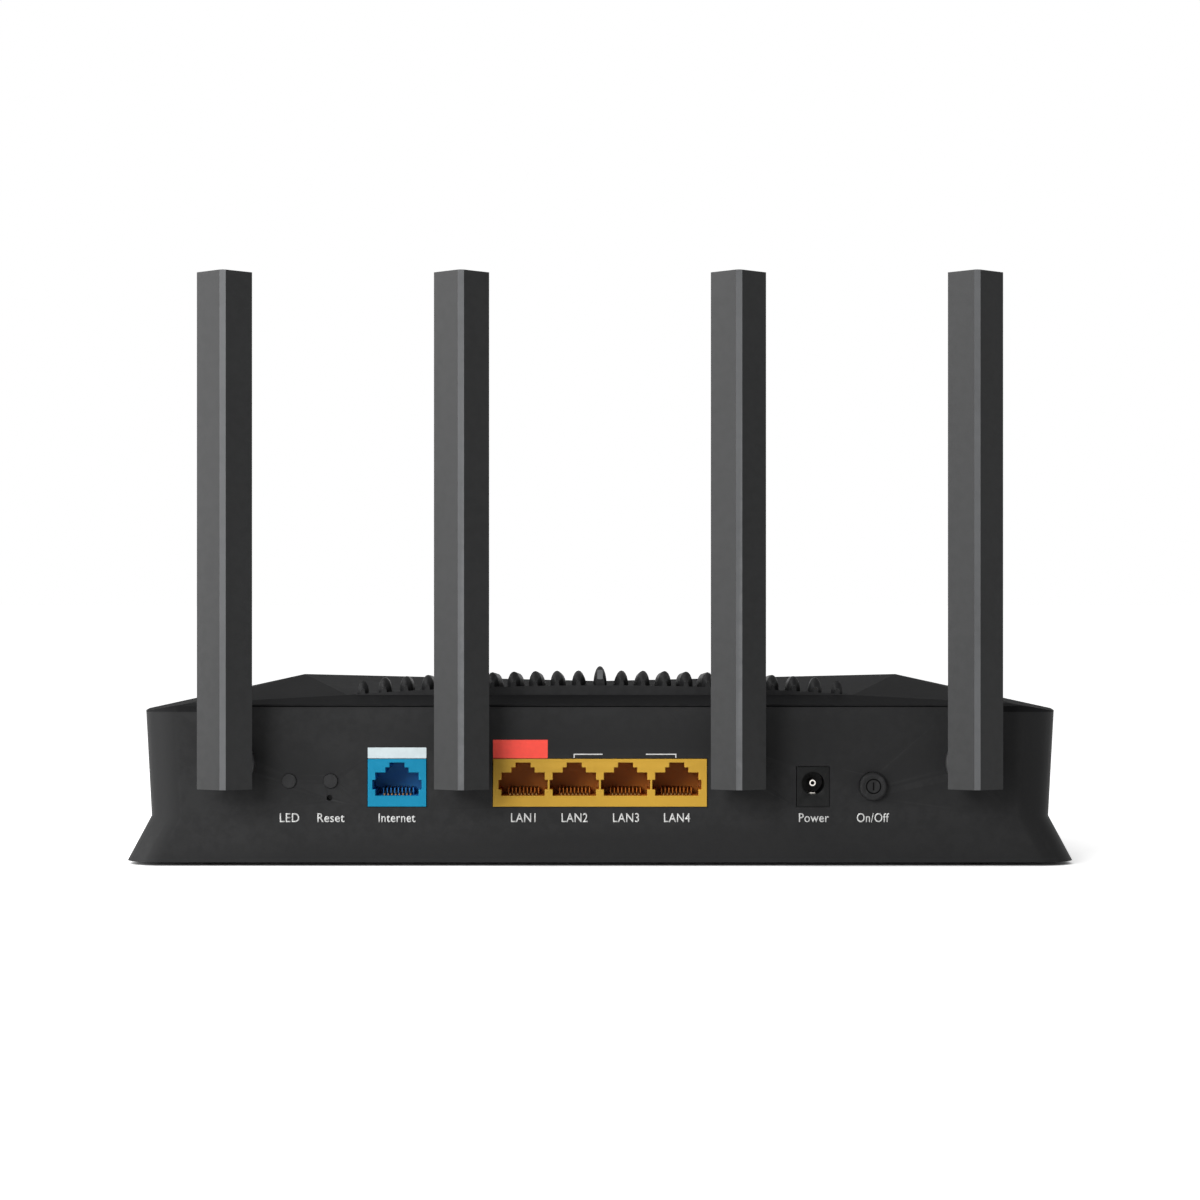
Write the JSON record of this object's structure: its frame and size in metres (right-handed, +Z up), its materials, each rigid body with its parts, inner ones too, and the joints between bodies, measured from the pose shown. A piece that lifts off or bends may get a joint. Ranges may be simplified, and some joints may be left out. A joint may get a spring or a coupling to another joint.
{
  "type": "wireless router",
  "caption": "Table-top wireless router with a flared case, faceted lid with a ribbed vent field, network and power sockets, buttons, and turning, folding antennas on its rear.",
  "frame": {"origin": "centre of the bounding box's bottom, on the surface that the feet stand on", "axes": "+X across the router, to the right when the socket panel is faced; +Y from the socket panel to the front edge; +Z up"},
  "size_m": [0.26, 0.1516, 0.1609],
  "materials": {
    "case": "matte",
    "grille": "matte",
    "antenna_case": "matte",
    "rubber": "matte",
    "screw_steel": "satin",
    "label": "satin",
    "clear_plastic": "gloss",
    "lamp": "gloss",
    "board": "satin",
    "tinned_steel": "satin",
    "chip": "matte",
    "pad": "matte",
    "sink": "satin",
    "can": "satin",
    "yellow_plastic": "satin",
    "blue_plastic": "satin",
    "gold": "polished",
    "black_plastic": "satin",
    "plated_brass": "polished",
    "cable": "satin"
  },
  "bodies": {
    "case": {"main_shell": "case", "top_cover": "case", "rib_grille": "grille", "base_plate": "case", "rubber_feet": "rubber", "case_screws": "screw_steel", "rating_plate": "label", "light_guide": "clear_plastic", "status_lights": "lamp", "main_board": "board", "board_screws": "screw_steel", "shield_cans": "tinned_steel", "processor": "chip", "memory_chips": "chip", "thermal_pads": "pad", "heat_sink": "sink", "line_transformers": "chip", "capacitors": "can", "power_coils": "chip", "lan_jack": "yellow_plastic", "lan_contacts": "gold", "wan_jack": "blue_plastic", "wan_contacts": "gold", "power_jack": "black_plastic", "power_jack_pin": "plated_brass", "power_jack_spring": "plated_brass", "power_switch": "black_plastic", "tact_switches": "black_plastic", "antenna_leads": "cable", "coax_plugs": "tinned_steel", "swivel_keepers": "tinned_steel"},
    "antenna_1_base": {"antenna_1_swivel": "antenna_case"},
    "antenna_1_blade": {"antenna_1_hinge_pin": "screw_steel", "antenna_1_front_shell": "antenna_case", "antenna_1_rear_shell": "antenna_case", "antenna_1_element_board": "board", "antenna_1_feed_cable": "cable"},
    "antenna_2_base": {"antenna_2_swivel": "antenna_case"},
    "antenna_2_blade": {"antenna_2_hinge_pin": "screw_steel", "antenna_2_front_shell": "antenna_case", "antenna_2_rear_shell": "antenna_case", "antenna_2_element_board": "board", "antenna_2_feed_cable": "cable"},
    "antenna_3_base": {"antenna_3_swivel": "antenna_case"},
    "antenna_3_blade": {"antenna_3_hinge_pin": "screw_steel", "antenna_3_front_shell": "antenna_case", "antenna_3_rear_shell": "antenna_case", "antenna_3_element_board": "board", "antenna_3_feed_cable": "cable"},
    "antenna_4_base": {"antenna_4_swivel": "antenna_case"},
    "antenna_4_blade": {"antenna_4_hinge_pin": "screw_steel", "antenna_4_front_shell": "antenna_case", "antenna_4_rear_shell": "antenna_case", "antenna_4_element_board": "board", "antenna_4_feed_cable": "cable"},
    "power_button_part": {"power_button": "black_plastic"},
    "led_button_part": {"led_button": "black_plastic"},
    "wps_button_part": {"wps_button": "black_plastic"},
    "reset_plunger_part": {"reset_plunger": "black_plastic"}
  },
  "joints": [
    {"name": "antenna_1_turn", "type": "hinge", "parent": "case", "child": "antenna_1_base", "pos_m": [-0.1009, -0.05895, 0.0282], "axis": [0, 1, 0], "range_deg": [-90, 20]},
    {"name": "antenna_1_fold", "type": "hinge", "parent": "antenna_1_base", "child": "antenna_1_blade", "pos_m": [-0.1009, -0.06995, 0.0282], "axis": [1, 0, 0], "range_deg": [0, 90]},
    {"name": "antenna_2_turn", "type": "hinge", "parent": "case", "child": "antenna_2_base", "pos_m": [-0.0372, -0.05895, 0.0282], "axis": [0, 1, 0], "range_deg": [-20, 20]},
    {"name": "antenna_2_fold", "type": "hinge", "parent": "antenna_2_base", "child": "antenna_2_blade", "pos_m": [-0.0372, -0.06995, 0.0282], "axis": [1, 0, 0], "range_deg": [0, 90]},
    {"name": "antenna_3_turn", "type": "hinge", "parent": "case", "child": "antenna_3_base", "pos_m": [0.0372, -0.05895, 0.0282], "axis": [0, 1, 0], "range_deg": [-20, 20]},
    {"name": "antenna_3_fold", "type": "hinge", "parent": "antenna_3_base", "child": "antenna_3_blade", "pos_m": [0.0372, -0.06995, 0.0282], "axis": [1, 0, 0], "range_deg": [0, 90]},
    {"name": "antenna_4_turn", "type": "hinge", "parent": "case", "child": "antenna_4_base", "pos_m": [0.1009, -0.05895, 0.0282], "axis": [0, 1, 0], "range_deg": [-20, 90]},
    {"name": "antenna_4_fold", "type": "hinge", "parent": "antenna_4_base", "child": "antenna_4_blade", "pos_m": [0.1009, -0.06995, 0.0282], "axis": [1, 0, 0], "range_deg": [0, 90]},
    {"name": "power_button_press", "type": "slide", "parent": "case", "child": "power_button_part", "axis": [0, 1, 0], "range_m": [0, 0.0018], "stiffness_N_per_m": 500, "springref_m": -0.001},
    {"name": "led_button_press", "type": "slide", "parent": "case", "child": "led_button_part", "axis": [0, 1, 0], "range_m": [0, 0.0004], "stiffness_N_per_m": 1500, "springref_m": -0.0004},
    {"name": "wps_button_press", "type": "slide", "parent": "case", "child": "wps_button_part", "axis": [0, 1, 0], "range_m": [0, 0.0004], "stiffness_N_per_m": 1500, "springref_m": -0.0004},
    {"name": "reset_plunger_press", "type": "slide", "parent": "case", "child": "reset_plunger_part", "axis": [0, 1, 0], "range_m": [0, 0.0003], "stiffness_N_per_m": 800, "springref_m": -0.0004}
  ]
}
